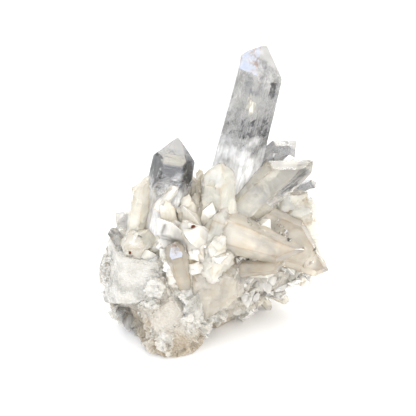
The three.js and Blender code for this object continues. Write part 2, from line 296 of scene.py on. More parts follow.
WATER_CLEAR = quartz(
    "water_clear_rock_crystal", "fefefe", "f9fafb", foot=0.8, tip=0.0, clears_at=0.45, absorb=1.5,
    inner=0.015, wispy=0.35, apex=0.2, rim="f2f2f2",
)
GLASSY_GREY = quartz(
    "glassy_grey_rock_crystal", "fcfcfb", "f6f6f5", foot=0.5, tip=0.06, clears_at=0.15, absorb=4.0,
    frost=0.12, inner=0.03, wispy=0.3, apex=0.3, rim="efe9df",
)
CREAM = quartz("cream_rock_crystal", "fdfaf0", "faf4e5", foot=0.74, tip=0.36)
TAN = quartz("tan_rock_crystal", "fcf8ef", "f7f0e4", foot=0.82, tip=0.56, absorb=1.2, rim="dccbb0")
WHITE = quartz("white_rock_crystal", "fdfcf7", "faf8f0", foot=0.86, tip=0.62, wispy=0.1)
PALE_BLADE = quartz(
    "pale_bladed_rock_crystal", "f8f5ec", "f2eee0", foot=0.4, tip=0.15, clears_at=0.35, absorb=1.5,
    frost=0.12, inner=0.03, wispy=0.05, rim="dccdb2",
)
BEIGE_BLADE = quartz(
    "beige_bladed_rock_crystal", "f6f0e4", "efe5d3", foot=0.44, tip=0.2, clears_at=0.35, absorb=2.0,
    frost=0.12, inner=0.03, wispy=0.05, rim="d6be9c",
)
SHEAF = quartz("sheaf_rock_crystal", "f5f1e7", "ede7da", foot=0.86, tip=0.6, wispy=0.1, rim="d9ccb4")
MASSED = quartz(
    "massed_rock_crystal", "fefcf4", "fbf7ea", foot=0.85, tip=0.6, frost=0.16, inner=0.06,
    wispy=0.1, rim="e6dac4",
)
CREAM_CLOT = quartz("cream_clot", "efeada", "e6dfca", foot=1.0, tip=1.0, frost=0.3, inner=0.2)
ETCHED = etched_quartz()
CLOUD = milky_cloud("bubble_cloud", "efeeea", most=0.56, width=1.4, streak=0.3)
HAZE = milky_cloud("fine_haze", "f4f5f5", most=0.56, width=0.8, streak=0.1, fade_from=0.85)
FAINT_CLOUD = milky_cloud("faint_bubble_cloud", "faf5ec", most=0.4, width=2.6, streak=0.5, fade_from=0.6)
CRACK = healed_crack()
PAINTED_DARK_FILM = shadowed_crack()
VEIN = vein_quartz()


# ---- Crystals ----


def steady(text):
    """A steady number from 0 to 1 for a name."""
    return (sum((i + 7) * ord(c) * 131 for i, c in enumerate(text)) % 997) / 997


class Habit:
    """How one crystal lies: its long axis, its foot and length, and the planes of its faces."""

    def __init__(self, name):
        mesh = frame["nodes"][name].data
        self.name = name
        self.axis = self.long_axis(mesh)
        self.side = self.axis.orthogonal().normalized()
        self.third = self.axis.cross(self.side)
        self.middle = sum((v.co for v in mesh.vertices), Vector()) / len(mesh.vertices)
        rises = [v.co.dot(self.axis) for v in mesh.vertices]
        self.low, self.high = min(rises), max(rises)
        self.length = self.high - self.low
        self.foot = self.middle + self.axis * (self.low - self.middle.dot(self.axis))
        self.planes = self.face_planes(mesh)
        self.half = min(-(self.middle - p).dot(n) for p, n in self.planes)

    def long_axis(self, mesh):
        """The direction that the large faces stand along, pointing away from the heart of the cluster."""
        spread = Matrix.Identity(3) * 1e-9
        for face in mesh.polygons:
            n = face.normal
            spread += face.area * Matrix([[n[i] * n[j] for j in range(3)] for i in range(3)])
        solver = spread.inverted()
        axis = Vector((0.3, 0.2, 1.0))
        for _ in range(40):
            axis = (solver @ axis).normalized()
        middle = sum((v.co for v in mesh.vertices), Vector()) / len(mesh.vertices)
        return axis if axis.dot(middle - HEART) > 0 else -axis

    def face_planes(self, mesh):
        found = []
        for face in mesh.polygons:
            if not any(n.dot(face.normal) > 0.999 for _, n in found):
                found.append((face.center.copy(), face.normal.copy()))
        return [(p, n) for p, n in found if all((v.co - p).dot(n) < 0.3 * MM for v in mesh.vertices)]

    def holds(self, point):
        return all((point - p).dot(n) < 0 for p, n in self.planes)

    def note(self, bm):
        """Writes where each vertex lies in the crystal, for the materials to draw by."""
        rise = bm.verts.layers.float.get("rise") or bm.verts.layers.float.new("rise")
        grown = bm.verts.layers.float_vector.get("grown") or bm.verts.layers.float_vector.new("grown")
        shift = Vector((steady(self.name), steady(self.name + "b"), steady(self.name + "c"))) * 0.4
        for v in bm.verts:
            q = v.co - self.foot
            s = q.dot(self.axis)
            v[rise] = s / self.length
            v[grown] = Vector((q.dot(self.side), q.dot(self.third), s)) + shift
        return rise, grown


def hull_of(mesh):
    bm = bmesh.new()
    for v in mesh.vertices:
        bm.verts.new(v.co)
    hull = bmesh.ops.convex_hull(bm, input=bm.verts, use_existing_faces=False)
    spare = {v for v in hull["geom_interior"] + hull["geom_unused"] if isinstance(v, bmesh.types.BMVert)}
    bmesh.ops.delete(bm, geom=list(spare), context="VERTS")
    return bm


def cut_across(bm, direction, step):
    """Cuts every face where it crosses planes a step apart, so that fine relief can follow."""
    reach = [v.co.dot(direction) for v in bm.verts]
    low, high = min(reach), max(reach)
    count = int((high - low) / step)
    for i in range(1, count + 1):
        at = direction * (low + i * (high - low) / (count + 1))
        geometry = bm.verts[:] + bm.edges[:] + bm.faces[:]
        bmesh.ops.bisect_plane(bm, geom=geometry, dist=1e-7, plane_co=at, plane_no=direction)


def drop_crumbs(bm):
    """Keeps only the largest joined part of a mesh."""
    seen = set()
    islands = []
    for start in bm.verts:
        if start in seen:
            continue
        seen.add(start)
        island = [start]
        for v in island:
            fresh = [w for w in (e.other_vert(v) for e in v.link_edges) if w not in seen]
            seen.update(fresh)
            island += fresh
        islands.append(island)
    islands.sort(key=len)
    bmesh.ops.delete(bm, geom=[v for island in islands[:-1] for v in island], context="VERTS")


def wear_down(bm, edges, width):
    """Rounds these edges to this width, in mm."""
    bmesh.ops.bevel(bm, geom=edges, offset=width * MM, segments=2, profile=0.6, affect="EDGES", clamp_overlap=True)


def trim(bm, point, outwards):
    """Cuts away what lies outside a plane through this point."""
    geometry = bm.verts[:] + bm.edges[:] + bm.faces[:]
    bmesh.ops.bisect_plane(bm, geom=geometry, dist=1e-7, plane_co=point, plane_no=outwards, clear_outer=True)


def join_into(whole, bm):
    """Moves one bmesh into another."""
    mesh = bpy.data.meshes.new("joined")
    bm.to_mesh(mesh)
    bm.free()
    whole.from_mesh(mesh)
    bpy.data.meshes.remove(mesh)


def finish_piece(bm, name, materials, slot, *nodes, smooth=30):
    """Turns a bmesh into a piece of the object, which stands for these CAD nodes."""
    bmesh.ops.dissolve_degenerate(bm, dist=1e-6, edges=bm.edges[:])
    for face in bm.faces:
        face.smooth = True
    for edge in bm.edges:
        edge.smooth = len(edge.link_faces) == 2 and abs(edge.calc_face_angle(0)) < math.radians(smooth)
    mesh = bpy.data.meshes.new(name)
    bm.to_mesh(mesh)
    bm.free()
    for material in materials:
        mesh.materials.append(material)
    piece = bpy.data.objects.new(name, mesh)
    bpy.context.scene.collection.objects.link(piece)
    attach(piece, "root")
    if nodes:
        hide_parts(*nodes)
    return piece


def chip_height(q, size, slope, seed):
    """How far a broken grain's own tilted face stands out at q, for grains of this size."""
    _, centres = noise.voronoi(q / size + Vector((seed, seed * 2, seed * 3)))
    tilt = noise.cell_vector(centres[0] * 31.7) - Vector((0.5, 0.5, 0.5))
    lift = noise.cell(centres[0] * 17.3) - 0.5
    return ((q / size + Vector((seed, seed * 2, seed * 3)) - centres[0]).dot(tilt) * slope + lift * 0.35) * size


def grown_crystal(habit, material, mosaic, other, faces):
    """One crystal, its faces kept and its edges faintly worn, with growth steps across its sides. A milky one is a
    mosaic of thin plates along it, each tilted a little its own way."""
    wear, fine = 0.22, 0.8  # how far the edges are worn and how closely the faces are cut, in mm
    name = habit.name
    if name == "twin_blades":
        bm = bmesh.new()
        bm.from_mesh(frame["nodes"][name].data)
        bmesh.ops.remove_doubles(bm, verts=bm.verts, dist=1e-6)
    else:
        bm = hull_of(frame["nodes"][name].data)
    bmesh.ops.dissolve_limit(bm, angle_limit=math.radians(1.5), verts=bm.verts, edges=bm.edges)
    worn = [e for e in bm.edges if len(e.link_faces) == 2 and e.calc_face_angle_signed() > math.radians(8)]
    corners = [(e.verts[0].co.copy(), e.verts[1].co.copy()) for e in worn]
    wear_down(bm, worn, wear)
    cut_across(bm, habit.axis, fine * MM)
    cut_across(bm, habit.side, 2 * fine * MM)
    cut_across(bm, habit.third, 2 * fine * MM)
    bmesh.ops.recalc_face_normals(bm, faces=bm.faces)
    bm.normal_update()
    rise, grown = habit.note(bm)
    edge = bm.verts.layers.float.new("edge")
    for v in bm.verts:
        near = min((v.co - intersect_point_line(v.co, a, b)[0]).length for a, b in corners)
        v[edge] = math.exp(-near / (0.5 * MM)) * (0.6 + 0.8 * noise.noise(v.co / MM / 3))
    for towards, low, high in faces:
        for face in bm.faces:
            up = sum(v[rise] for v in face.verts) / len(face.verts)
            if low < up < high and face.normal.dot(Vector(towards).normalized()) > 0.9:
                face.material_index = 1
    shift = Vector((steady(name), steady(name + "b"), steady(name + "c"))) * 50
    moves = []
    for v in bm.verts:
        s = v.co.dot(habit.axis) / MM
        q = v.co / MM + shift
        upright = 1 - abs(v.normal.dot(habit.axis))
        swell = noise.noise(q / 7) * 0.1
        steps = noise.noise(Vector((s / 1.3, 0.5 * noise.noise(q / 5), shift.x))) * 0.05 * upright
        pits = noise.noise(q / 1.5) * 0.015
        along = Matrix.Diagonal((1, 1, 0.4)) @ (v[grown] / MM)
        plates = (chip_height(along, 3.4, 0.32, 4.1) + chip_height(along, 1.5, 0.3, 7.7)) * mosaic
        moves.append(v.normal * (swell + steps + pits + plates) * MM)
    for v, move in zip(bm.verts, moves):
        v.co += move
    bmesh.ops.triangulate(bm, faces=[f for f in bm.faces if len(f.verts) > 4])
    return finish_piece(bm, name + "_crystal", [material, other] if other else [material], SLOTS[name], name)


def cloud_inside(habit, material, layers, reach, ending="_cloud"):
    """Milky sheets, one within another, that follow a crystal's faces as it once was. They are drawn on the
    CAD solid, so at a slim foot they can lie a little outside the crystal."""
    whole = bmesh.new()
    for i, wide in enumerate(layers):
        bm = hull_of(frame["nodes"][habit.name].data)
        cut_across(bm, habit.axis, 1.6 * MM)
        cut_across(bm, habit.side, 1.6 * MM)
        cut_across(bm, habit.third, 1.6 * MM)
        for v in bm.verts:
            q = v.co - habit.foot
            s = q.dot(habit.axis)
            wobble = noise.noise(q / MM / 4 + Vector((i * 7.3, steady(habit.name) * 40, 0))) * 0.06
            radial = (q - habit.axis * s) * (wide + wobble)
            v.co = habit.foot + radial + habit.axis * (0.6 * MM + s * reach * (0.8 + 0.2 * wide))
        habit.note(bm)
        join_into(whole, bm)
    return finish_piece(whole, habit.name + ending, [material], SLOTS[habit.name], smooth=60)


def cracks_inside(habit, count, seed, low, high):
    """Wavy healed cracks across a crystal, trimmed to the planes of its outermost faces. Where the crystal is
    slimmer than those, at its foot and between the two blades of a pair, a crack can stand out of it."""
    rng = random.Random(seed)
    whole = bmesh.new()
    for i in range(count):
        bm = bmesh.new()
        bmesh.ops.create_grid(bm, x_segments=26, y_segments=26, size=1.6 * habit.half * rng.uniform(0.6, 1.0))
        lean = Vector([rng.uniform(-1, 1) for _ in range(3)])
        normal = (habit.axis * rng.uniform(0.2, 1.2) + lean).normalized()
        turn = normal.to_track_quat("Z", "Y").to_matrix()
        s = habit.length * rng.uniform(low, high)
        beside = habit.side * rng.uniform(-1, 1) + habit.third * rng.uniform(-1, 1)
        centre = habit.foot + habit.axis * s + beside * habit.half * 0.4
        for v in bm.verts:
            q = v.co / MM
            v.co.z = noise.noise(Vector((q.x / 4, q.y / 4, seed * 3.1 + i * 11))) * 1.6 * MM
            v.co = centre + turn @ v.co
        for point, outwards in habit.planes:
            trim(bm, point - outwards * 0.35 * MM, outwards)
        join_into(whole, bm)
    return finish_piece(whole, habit.name + "_cracks", [CRACK], SLOTS[habit.name], smooth=80)


# which crystals have which finish; the others are glassy grey in the clear slot and cream in the milky one
FINISHES = {
    WATER_CLEAR: ("tall_point", "left_point"),
    BEIGE_BLADE: ("twin_blades", "low_blade", "front_stub"),
    PALE_BLADE: ("upper_blade",),
    CREAM: ("left_blade", "left_dome"),
    TAN: ("front_brow", "sheaf_beige", "druse_brown"),
    WHITE: ("left_wing",),
    SHEAF: (
        *("gap_stub", "gap_point", "front_clear", "peach_stub", "round_stub", "sheaf_white", "sheaf_thin"),
        *("druse_far", "druse_mid", "druse_right", "druse_low"),
    ),
}

# how far the thin plates of a crystal stand out; the clearer it is, the smoother
MOSAICS = {WATER_CLEAR: 0.0, GLASSY_GREY: 0.06, PALE_BLADE: 0.14, BEIGE_BLADE: 0.14}
MILKY_MOSAIC = 0.38

# some faces took another finish: the way they face, and how far up the crystal they start and stop
SINGLE_FACES = {
    "tall_point": (ETCHED, [((-0.25, -0.66, 0.71), 0.86, 2), ((-0.97, 0, 0.24), 0.9, 2)]),
    "upper_blade": (WATER_CLEAR, [((0.51, -0.79, -0.35), 0.42, 0.97)]),
    "front_stub": (ETCHED, [((0.1, -0.75, 0.66), 0.8, 2)]),
}

HABITS = {name: Habit(name) for name in SLOTS if name != "vein_block"}

for node_name, habit in HABITS.items():
    plain = GLASSY_GREY if SLOTS[node_name] == "clear_quartz" else CREAM
    finish = next((kind for kind, crystals in FINISHES.items() if node_name in crystals), plain)
    other, faces = SINGLE_FACES.get(node_name, (None, ()))
    grown_crystal(habit, finish, MOSAICS.get(finish, MILKY_MOSAIC), other, faces)

# the kind of sheet, how wide each one is beside the crystal, and how far up they reach
CLOUDS = {
    "tall_point": (CLOUD, (0.9, 0.72, 0.52, 0.3), 0.8),
    "left_point": (CLOUD, (0.9, 0.66, 0.36), 0.66),
    "left_blade": (CLOUD, (0.85, 0.5), 0.9),
    "back_right": (FAINT_CLOUD, (0.8, 0.4), 0.8),
    "front_clear": (FAINT_CLOUD, (0.8, 0.4), 0.8),
    "left_dome": (FAINT_CLOUD, (0.7,), 0.7),
    "upper_blade": (FAINT_CLOUD, (0.75,), 0.85),
    "back_tall_point": (CLOUD, (0.8, 0.4), 0.8),
    "back_middle_point": (CLOUD, (0.8, 0.4), 0.8),
}
for node_name, (material, layers, reach) in CLOUDS.items():
    cloud_inside(HABITS[node_name], material, layers, reach)
# fine haze right under the skin, with the same widths
HAZES = {"tall_point": (0.95, 0.6), "left_dome": (0.9, 0.4)}
for node_name, layers in HAZES.items():
    cloud_inside(HABITS[node_name], HAZE, layers, 0.96, "_haze")


def cream_inclusion(habit, place, long, wide):
    """A cream clot of other mineral that the crystal grew around, at a place in mm, not trimmed to the faces."""
    bm = bmesh.new()
    bmesh.ops.create_icosphere(bm, subdivisions=4, radius=0.5)
    turn = habit.axis.to_track_quat("Z", "Y").to_matrix()
    for v in bm.verts:
        v.co *= 1 + 0.6 * noise.noise(v.co * 4) + 0.25 * noise.noise(v.co * 11)
        v.co = (Vector(place) + turn @ Vector((v.co.x * wide, v.co.y * wide * 0.5, v.co.z * long))) * MM
    habit.note(bm)
    return finish_piece(bm, habit.name + "_clot", [CREAM_CLOT], SLOTS[habit.name], smooth=80)


cream_inclusion(HABITS["tall_point"], (14.4, 2.5, 84.4), 6.5, 4.0)


def painted_dark_sheet(habit, ending, facing, place, long, wide):
    """A sheet painted dark, half a millimetre under one face of a crystal, at a place in mm: a painted dark
    reflection.
    """
    depth = 0.5
    bm = bmesh.new()
    bmesh.ops.create_grid(bm, x_segments=30, y_segments=40, size=0.5)
    out = Vector(facing).normalized()
    up = (habit.axis - out * habit.axis.dot(out)).normalized()
    beside = up.cross(out)
    for v in bm.verts:
        x, y = v.co.x, v.co.y
        lift = noise.noise(Vector((x * 9, y * 5, long))) * 0.3 - depth
        x *= 0.85 + 0.5 * noise.noise(Vector((y * 7, 1.5, wide)))
        y *= 0.85 + 0.5 * noise.noise(Vector((x * 9, 4.5, long)))
        v.co = (Vector(place) + beside * x * wide + up * y * long + out * lift) * MM
    for point, outwards in habit.planes:
        trim(bm, point - outwards * 0.3 * MM, outwards)
    habit.note(bm)
    return finish_piece(bm, habit.name + ending, [PAINTED_DARK_FILM], SLOTS[habit.name], smooth=80)


# the crystal, the end of the name, the way the painted dark sheet faces, its place, its length and its width, in mm
PAINTED_DARK_SHEETS = [
    ("tall_point", "_dark_flaw_right", (0.5, -0.87, -0.06), (16.5, 1.6, 76.0), 7.5, 11.0),
    ("tall_point", "_dark_flaw_left", (-0.48, -0.86, 0.16), (12.0, 0.6, 76.5), 8.5, 3.6),
    ("tall_point", "_dark_shoulder", (0.5, -0.87, -0.06), (21.8, 3.9, 89.5), 6.5, 2.8),
    ("left_point", "_dark_flaw_left", (-0.84, -0.48, 0.26), (-18.0, -1.7, 63.0), 14.0, 9.0),
    ("left_point", "_dark_flaw_right", (0.86, -0.5, -0.06), (-7.4, -3.6, 61.0), 13.0, 9.5),
    ("upper_blade", "_dark_flaw", (0.51, -0.79, -0.35), (29.0, -2.4, 56.5), 13.0, 4.5),
]
for node_name, ending, facing, place, long, wide in PAINTED_DARK_SHEETS:
    painted_dark_sheet(HABITS[node_name], ending, facing, place, long, wide)

# how many cracks, the seed of their places, and how far up the lowest and the highest are
CRACKS = {
    "tall_point": (5, 3, 0.47, 0.6),
    "left_point": (2, 8, 0.3, 0.6),
    "upper_blade": (4, 5, 0.1, 0.8),
    "front_brow": (3, 6, 0.1, 0.8),
    "twin_blades": (6, 12, 0.1, 0.8),
    "front_clear": (3, 4, 0.1, 0.8),
    "cream_block": (3, 9, 0.2, 0.8),
    "left_dome": (2, 7, 0.2, 0.7),
    "back_right": (2, 2, 0.1, 0.6),
}
for node_name, (count, seed, low, high) in CRACKS.items():
    cracks_inside(HABITS[node_name], count, seed, low, high)


# ---- The block ----


# iron-stained pockets: each a place and a width, in mm
POCKETS = [((11.1, -14.9, 23.7), 3.4), ((-22.4, -20.2, 10), 2.6), ((-9.8, -25.7, 3.7), 7.0)]
BLOCK_GRAIN = 0.5 * MM  # how finely the broken surface is drawn
FOOT_SHARE = 0.16  # how much of a crystal's length the stone holds
FOOT_SLIM = 0.8  # the foot that the stone wraps is slimmer than its crystal, so that it stays hidden in it


def vein_block():
    """The block of vein quartz, with the feet of the crystals grown fast in it."""
    bm = bmesh.new()
    bm.from_mesh(frame["nodes"]["vein_block"].data)
    for name, habit in HABITS.items():
        foot = hull_of(frame["nodes"][name].data)
        for v in foot.verts:
            q = v.co - habit.foot
            along = habit.axis * q.dot(habit.axis)
            v.co = habit.foot + along + (q - along) * FOOT_SLIM
        trim(foot, habit.foot + habit.axis * FOOT_SHARE * habit.length, habit.axis)
        bmesh.ops.holes_fill(foot, edges=[e for e in foot.edges if e.is_boundary])
        join_into(bm, foot)
    mesh = bpy.data.meshes.new("block")
    bm.to_mesh(mesh)
    bm.free()
    lump = bpy.data.objects.new("block", mesh)
    bpy.context.scene.collection.objects.link(lump)
    remesh = lump.modifiers.new("grain", "REMESH")
    remesh.mode = "VOXEL"
    remesh.voxel_size = BLOCK_GRAIN
    solid = bpy.data.meshes.new_from_object(lump.evaluated_get(bpy.context.evaluated_depsgraph_get()))
    bpy.data.objects.remove(lump)
    bm = bmesh.new()
    bm.from_mesh(solid)
    drop_crumbs(bm)
    bm.normal_update()
    hollow = bm.verts.layers.float.new("hollow")
    stained = bm.verts.layers.float.new("stained")
    moves = []
    for v in bm.verts:
        q = v.co / MM
        rough = 0.35 + 0.65 * min(1.0, max(0.0, 0.5 + 1.6 * noise.noise(q / 11 + Vector((5, 5, 5)))))
        chips = chip_height(q, 7.5, 0.55, 2.3) + chip_height(q, 2.8, 0.8 * rough, 5.1)
        grains = chip_height(q, 1.3, 0.9 * rough, 8.7)
        height = max(-2.0, min(1.3, chips + grains))
        on_floor = v.normal.z < -0.5 and q.z < 2.5
        if any(h.holds(v.co + v.normal * 1.2 * MM) for h in HABITS.values()):
            height = min(height, -0.2)
        v[hollow] = max(0.0, min(1.0, 0.35 - height * 0.45))
        # tan towards the bottom, more the lower it is
        low_down = (9 - q.z + 8 * noise.noise(q / 9)) / 12
        pocket = max(1.25 - (q - Vector(at)).length / wide for at, wide in POCKETS)
        v[stained] = max(0.0, min(1.2, max(low_down, pocket)))
        moves.append(v.normal * height * (max(0.0, q.z - 0.3) / 2.5 if on_floor else 1.0) * MM)
    for v, move in zip(bm.verts, moves):
        v.co += move
        v.co.z = max(v.co.z, 0.0)
    return finish_piece(bm, "vein_block_rough", [VEIN], "vein_quartz", "vein_block", smooth=32)


BLOCK = vein_block()


def add_point(bm, base, up, tall, across, rng):
    """Adds one six-sided point to a mesh, a little flattened and with its tip off centre."""
    turn = up.to_track_quat("Z", "Y").to_matrix() @ Matrix.Rotation(rng.uniform(0, 1.05), 3, "Z")
    flat = rng.uniform(0.55, 1.0)
    rings = []
    for z, k in ((-0.35 * tall, 1.0), (tall - 1.25 * across, 0.92)):
        ring = []
        for i in range(6):
            a = math.radians(60 * i)
            r = across * k * (1 + 0.12 * math.cos(3 * a))
            rise = z + across * 0.25 * math.cos(3 * a) * (k < 1)
            place = Vector((math.cos(a) * r, math.sin(a) * r * flat, rise))
            ring.append(bm.verts.new(base + turn @ place))
        rings.append(ring)
    top = Vector((rng.uniform(-0.4, 0.4) * across, rng.uniform(-0.4, 0.4) * across * flat, tall))
    top = bm.verts.new(base + turn @ top)
    for i in range(6):
        j = (i + 1) % 6
        bm.faces.new((rings[0][i], rings[0][j], rings[1][j], rings[1][i]))
        bm.faces.new((rings[1][i], rings[1][j], top))
    bm.faces.new(rings[0][::-1])


def crust_piece(bm, name, material, slot):
    """Finishes a joined mesh of many small points."""
    bmesh.ops.bevel(bm, geom=bm.edges[:], offset=0.12 * MM, segments=1, affect="EDGES", clamp_overlap=True)
    rise = bm.verts.layers.float.new("rise")
    grown = bm.verts.layers.float_vector.new("grown")
    for v in bm.verts:
        v[rise] = 0.5 + 0.5 * noise.noise(v.co / MM / 3)
        v[grown] = v.co
        v.co.z = max(v.co.z, 0.0)
    bmesh.ops.recalc_face_normals(bm, faces=bm.faces)
    return finish_piece(bm, name, [material], slot, smooth=5)


def small_crystals(name, material, slot, box, count, long, wide, seed, outwards=0.6):
    """A crust of small points standing on the block inside this box, in mm, joined in one mesh."""
    rng = random.Random(seed)
    spots = []
    for face in BLOCK.data.polygons:
        p = face.center / MM
        if all(box[0][i] < p[i] < box[1][i] for i in range(3)) and face.normal.z > -0.8:
            spots.append(face)
    bm = bmesh.new()
    for _ in range(count if spots else 0):
        face = rng.choice(spots)
        away = (face.center - HEART).normalized()
        lean = Vector([rng.uniform(-0.6, 0.6) for _ in range(3)])
        up = (face.normal * (1 - outwards) + away * outwards + lean).normalized()
        add_point(bm, face.center, up, rng.uniform(*long) * MM, rng.uniform(*wide) * MM / 2, rng)
    return crust_piece(bm, name, material, slot)


def faceted(name, material, slot, planes, wear=0.35, ribs=0.0, upright=0.0):
    """A broken or grown-over mass bounded by flat faces. Each plane is a point on it and the way it faces, in mm.
    With ribs it is a bundle of blades grown together, fanning out from the heart."""
    bm = bmesh.new()
    bmesh.ops.create_cube(bm, size=0.3)
    for point, facing in planes:
        trim(bm, Vector(point) * MM, Vector(facing))
        bmesh.ops.holes_fill(bm, edges=[e for e in bm.edges if e.is_boundary])
    bmesh.ops.recalc_face_normals(bm, faces=bm.faces)
    wear_down(bm, bm.edges[:], wear)
    for direction in (Vector((1, 0, 0)), Vector((0, 1, 0)), Vector((0, 0, 1))):
        cut_across(bm, direction, (0.6 if ribs else 0.8) * MM)
    bmesh.ops.triangulate(bm, faces=[f for f in bm.faces if len(f.verts) > 4])
    bm.normal_update()
    heights = [v.co.z for v in bm.verts]
    low, high = min(heights), max(heights)
    rise = bm.verts.layers.float.new("rise")
    edge = bm.verts.layers.float.new("edge")
    grown = bm.verts.layers.float_vector.new("grown")
    moves = []
    for v in bm.verts:
        q = v.co / MM
        v[rise] = 0.5 * (v.co.z - low) / (high - low)
        v[grown] = v.co
        steps = noise.noise(Vector((q.z / 1.1, 0.4 * noise.noise(q / 4), 3))) * 0.12
        steps += noise.noise(Vector(((q.x + q.y) / 1.6, q.z / 14, 8))) * upright
        out = v.co - HEART
        spoke = out.normalized() * 20 + out * 0.12 / MM
        blades = (chip_height(spoke, 4.6, 1.1, 3.3) + chip_height(spoke, 1.9, 0.9, 6.1) * 0.7) * ribs
        # the grooves between the blades take the tan rim colour
        v[edge] = max(0.0, min(1.0, -blades * 0.35))
        moves.append(v.normal * (blades + steps + noise.noise(q / 5) * 0.3 + noise.noise(q / 1.6) * 0.06) * MM)
    for v, move in zip(bm.verts, moves):
        v.co += move
        v.co.z = max(v.co.z, 0.0)
    return finish_piece(bm, name, [material], slot)


# each grain's place and width, in mm
RUST = [
    ((-5, -16.8, 48.3), 1.3),
    ((-3.7, -16.2, 46.7), 0.8),
    ((-26.5, -18.1, 38.8), 1.0),
    ((-20.6, -5.6, 49.5), 0.7),
]


def rust_grains():
    """A few specks of iron oxide that sit between the crystals."""
    bm = bmesh.new()
    for at, wide in RUST:
        grain = bmesh.ops.create_icosphere(bm, subdivisions=3, radius=wide * MM / 2)
        for v in grain["verts"]:
            v.co *= 1 + 0.5 * noise.noise(v.co / MM * 1.7 + Vector(at))
            v.co += Vector(at) * MM
    finish_piece(bm, "rust_grains", [iron_rust()], "vein_quartz", smooth=80)


def fanned_blades(name, material, slot, centre, spread, count, long, wide, seed):
    """Blades grown into one another that fill the room between the larger crystals, fanning out from the heart."""
    rng = random.Random(seed)
    bm = bmesh.new()
    for _ in range(count):
        base = Vector([centre[i] + rng.uniform(-1, 1) * spread[i] for i in range(3)]) * MM
        away = (base - HEART + Vector((0, 0, 10)) * MM).normalized()
        up = (away + Vector([rng.uniform(-0.3, 0.3) for _ in range(3)])).normalized()
        add_point(bm, base, up, rng.uniform(*long) * MM, rng.uniform(*wide) * MM / 2, rng)
    return crust_piece(bm, name, material, slot)


faceted(
    "low_face_crystal",
    BEIGE_BLADE,
    "vein_quartz",
    [
        ((2, -18.2, 19), (0.12, -0.97, -0.12)),
        ((-6.5, -17, 22), (-0.85, -0.52, 0.08)),
        ((12.2, -14.5, 20), (0.8, -0.6, 0.1)),
        ((8, -14, 15.5), (0.6, -0.3, -0.74)),
        ((-3, -15, 9.5), (-0.3, -0.4, -0.86)),
        ((2, -19, 29.5), (0.0, -0.45, 0.89)),
        ((2, 0, 20), (0, 1, 0)),
    ],
    wear=0.8,
    ribs=0.15,
    upright=0.5,
)
faceted(
    "grey_facets",
    GLASSY_GREY,
    "vein_quartz",
    [
        ((-33, -12, 12), (-0.9, -0.25, -0.35)),
        ((-30.5, -15.5, 10), (-0.65, -0.74, -0.1)),
        ((-25, -17, 5), (-0.2, -0.6, -0.75)),
        ((-29, -14, 12), (-0.3, -0.3, 0.9)),
        ((-29, -14, 10), (0.8, -0.6, 0)),
        ((-25, -4, 10), (0, 1, 0)),
        ((-25, -10, 2), (0, 0, -1)),
    ],
)
faceted(
    "snow_face",
    VEIN,
    "vein_quartz",
    [
        ((-24, -17.6, 27), (-0.15, -0.95, 0.28)),
        ((-15, -16.5, 27), (0.75, -0.6, 0.2)),
        ((-33, -13, 26), (-0.9, -0.4, 0.1)),
        ((-24, -16, 17), (0.1, -0.5, -0.85)),
        ((-22, -13, 35), (0.05, -0.2, 0.97)),
        ((-24, -4, 27), (0, 1, 0)),
    ],
    wear=2.5,
)
faceted(
    "front_lump",
    VEIN,
    "vein_quartz",
    [
        ((-9, -21.4, 19), (0, -0.97, 0.25)),
        ((-9, -19, 24), (0, -0.5, 0.87)),
        ((-15, -18, 19), (-0.9, -0.3, 0.2)),
        ((-2, -18, 18), (0.9, -0.4, 0.2)),
        ((-9, -8, 18), (0, 1, 0)),
        ((-9, -15, 12), (0, 0, -1)),
    ],
    wear=1.5,
    ribs=0.4,
)
faceted(
    "front_web",
    TAN,
    "milky_quartz",
    [
        ((-8, -18.8, 24), (0.1, -0.98, 0.05)),
        ((-8, -15, 34), (0, -0.4, 0.92)),
        ((-16, -16, 24), (-0.9, -0.4, 0.1)),
        ((1, -16, 24), (0.9, -0.4, 0.1)),
        ((-8, -5, 24), (0, 1, 0)),
        ((-8, -14, 19), (0, -0.3, -0.95)),
    ],
    wear=1.0,
    ribs=0.6,
)
faceted(
    "rear_right_mass",
    CREAM,
    "milky_quartz",
    [
        ((35, 1.5, 38), (0.1, -0.93, 0.35)),
        ((34, 6, 44.5), (0.15, -0.3, 0.94)),
        ((39.5, 6, 38), (0.9, -0.1, 0.42)),
        ((40.5, 6, 33), (0.93, 0.2, -0.3)),
        ((24, 6, 40), (-0.9, 0, 0.4)),
        ((34, 15, 38), (0.2, 0.95, 0.2)),
        ((34, 6, 25), (0.3, 0, -0.95)),
    ],
    wear=1.0,
    ribs=0.6,
)
faceted(
    "sheaf_mass",
    MASSED,
    "milky_quartz",
    [
        ((-5, -17.8, 36), (-0.1, -0.86, 0.5)),
        ((-5, -18.6, 33), (0.0, -0.93, -0.36)),
        ((-6, -6, 50.6), (0, -0.5, 0.87)),
        ((-16, -9, 42), (-0.75, -0.25, 0.61)),
        ((-18, -9, 37), (-0.95, -0.2, -0.25)),
        ((5, -9, 42), (0.55, -0.5, 0.67)),
        ((7.5, -9, 36), (0.95, -0.2, -0.25)),
        ((-4, 2, 36), (0, 1, 0)),
        ((-4, -8, 20), (0, 0, -1)),
    ],
    ribs=1.0,
)
faceted(
    "side_mass",
    MASSED,
    "milky_quartz",
    [
        ((11, -5, 42.5), (0.2, -0.3, 0.93)),
        ((11, -11.5, 36), (0.2, -0.85, 0.49)),
        ((11, -12.5, 32), (0.1, -0.9, -0.42)),
        ((18, -6, 36), (0.85, -0.2, 0.49)),
        ((20, -6, 31), (0.9, -0.2, -0.4)),
        ((2, -6, 34), (-1, 0, 0)),
        ((10, 5, 36), (0, 1, 0)),
        ((10, -6, 22), (0, -0.2, -0.98)),
    ],
    ribs=1.0,
)
